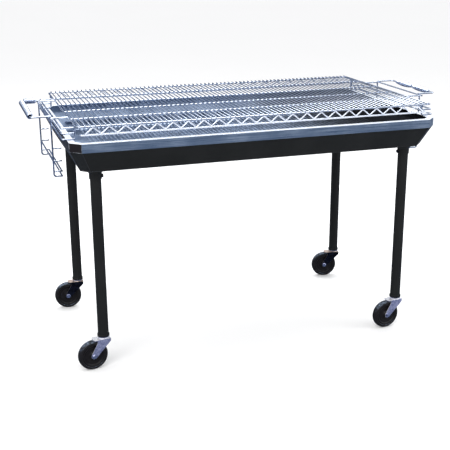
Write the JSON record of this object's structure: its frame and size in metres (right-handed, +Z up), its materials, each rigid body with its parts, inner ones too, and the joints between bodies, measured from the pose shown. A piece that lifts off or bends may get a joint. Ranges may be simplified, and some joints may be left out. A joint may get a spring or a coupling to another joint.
{
  "type": "charcoal grill",
  "caption": "Long open charcoal grill: black clipped-corner firebox on tube legs with swivel casters, and a chrome wire cooking grate that lifts by end handles.",
  "frame": {"origin": "on the floor, under the centre of the grill", "axes": "+X along the firebox, -Y the long side that faces the cook, +Z up"},
  "size_m": [1.821, 0.89, 1.0588],
  "materials": {
    "black_enamel": "satin black heat-proof paint",
    "rim_steel": "bare steel with a satin sheen",
    "charcoal_grate_iron": "bare, dull grey",
    "chrome_wire": "bright plated wire",
    "coil_grip_steel": "bright coiled spring wire",
    "zinc_steel": "bright zinc plate",
    "wheel_rubber": "hard dark rubber",
    "wheel_plastic": "moulded, dark"
  },
  "bodies": {
    "firebox": {"caster_stem_back_left": "zinc_steel", "caster_stem_back_right": "zinc_steel", "caster_stem_front_left": "zinc_steel", "caster_stem_front_right": "zinc_steel", "charcoal_grate_bars": "charcoal_grate_iron", "charcoal_grate_ledges": "charcoal_grate_iron", "charcoal_grate_rails": "charcoal_grate_iron", "leg_back_left": "black_enamel", "leg_back_right": "black_enamel", "leg_clamp_screws": "zinc_steel", "leg_collar_back_left": "black_enamel", "leg_collar_back_right": "black_enamel", "leg_collar_front_left": "black_enamel", "leg_collar_front_right": "black_enamel", "leg_front_left": "black_enamel", "leg_front_right": "black_enamel", "rim_back": "rim_steel", "rim_corners": "rim_steel", "rim_front": "rim_steel", "rim_left": "rim_steel", "rim_right": "rim_steel", "tub_corner_plates": "black_enamel", "tub_floor": "black_enamel", "tub_wall_back": "black_enamel", "tub_wall_front": "black_enamel", "tub_wall_left": "black_enamel", "tub_wall_right": "black_enamel"},
    "cooking_grate": {"grate_frame_wire": "chrome_wire", "grate_rods": "chrome_wire", "grate_support_wires": "chrome_wire", "handle_grips_left": "coil_grip_steel", "handle_grips_right": "coil_grip_steel", "handle_wire_left": "chrome_wire", "handle_wire_right": "chrome_wire", "ladder_bars_left": "chrome_wire", "ladder_bars_right": "chrome_wire", "ladder_rungs_left": "chrome_wire", "ladder_rungs_right": "chrome_wire", "ladder_uprights_left": "chrome_wire", "ladder_uprights_right": "chrome_wire", "rest_steps_left": "chrome_wire", "rest_steps_right": "chrome_wire", "truss_bottom_wires": "chrome_wire", "truss_zigzags": "chrome_wire"},
    "caster_front_left": {"caster_fork_front_left": "zinc_steel", "caster_axle_front_left": "zinc_steel"},
    "wheel_front_left": {"tyre_front_left": "wheel_rubber", "wheel_core_front_left": "wheel_plastic"},
    "caster_front_right": {"caster_fork_front_right": "zinc_steel", "caster_axle_front_right": "zinc_steel"},
    "wheel_front_right": {"tyre_front_right": "wheel_rubber", "wheel_core_front_right": "wheel_plastic"},
    "caster_back_left": {"caster_fork_back_left": "zinc_steel", "caster_axle_back_left": "zinc_steel"},
    "wheel_back_left": {"tyre_back_left": "wheel_rubber", "wheel_core_back_left": "wheel_plastic"},
    "caster_back_right": {"caster_fork_back_right": "zinc_steel", "caster_axle_back_right": "zinc_steel"},
    "wheel_back_right": {"tyre_back_right": "wheel_rubber", "wheel_core_back_right": "wheel_plastic"}
  },
  "joints": [
    {"name": "grate_lift", "type": "slide", "parent": "firebox", "child": "cooking_grate", "axis": [0, 0, 1], "range_m": [0, 0.11]},
    {"name": "swivel_front_left", "type": "hinge", "parent": "firebox", "child": "caster_front_left", "pos_m": [-0.678, -0.344, 0.132], "axis": [0, 0, 1], "continuous": true},
    {"name": "roll_front_left", "type": "hinge", "parent": "caster_front_left", "child": "wheel_front_left", "pos_m": [-0.72724, -0.35268, 0.0635], "axis": [-0.1736, 0.9848, 0], "continuous": true},
    {"name": "swivel_front_right", "type": "hinge", "parent": "firebox", "child": "caster_front_right", "pos_m": [0.678, -0.344, 0.132], "axis": [0, 0, 1], "continuous": true},
    {"name": "roll_front_right", "type": "hinge", "parent": "caster_front_right", "child": "wheel_front_right", "pos_m": [0.62849, -0.35096, 0.0635], "axis": [-0.1392, 0.9903, 0], "continuous": true},
    {"name": "swivel_back_left", "type": "hinge", "parent": "firebox", "child": "caster_back_left", "pos_m": [-0.678, 0.344, 0.132], "axis": [0, 0, 1], "continuous": true},
    {"name": "roll_back_left", "type": "hinge", "parent": "caster_back_left", "child": "wheel_back_left", "pos_m": [-0.72793, 0.34662, 0.0635], "axis": [0.0523, 0.9986, 0], "continuous": true},
    {"name": "swivel_back_right", "type": "hinge", "parent": "firebox", "child": "caster_back_right", "pos_m": [0.678, 0.344, 0.132], "axis": [0, 0, 1], "continuous": true},
    {"name": "roll_back_right", "type": "hinge", "parent": "caster_back_right", "child": "wheel_back_right", "pos_m": [0.62876, 0.35268, 0.0635], "axis": [0.1736, 0.9848, 0], "continuous": true}
  ]
}
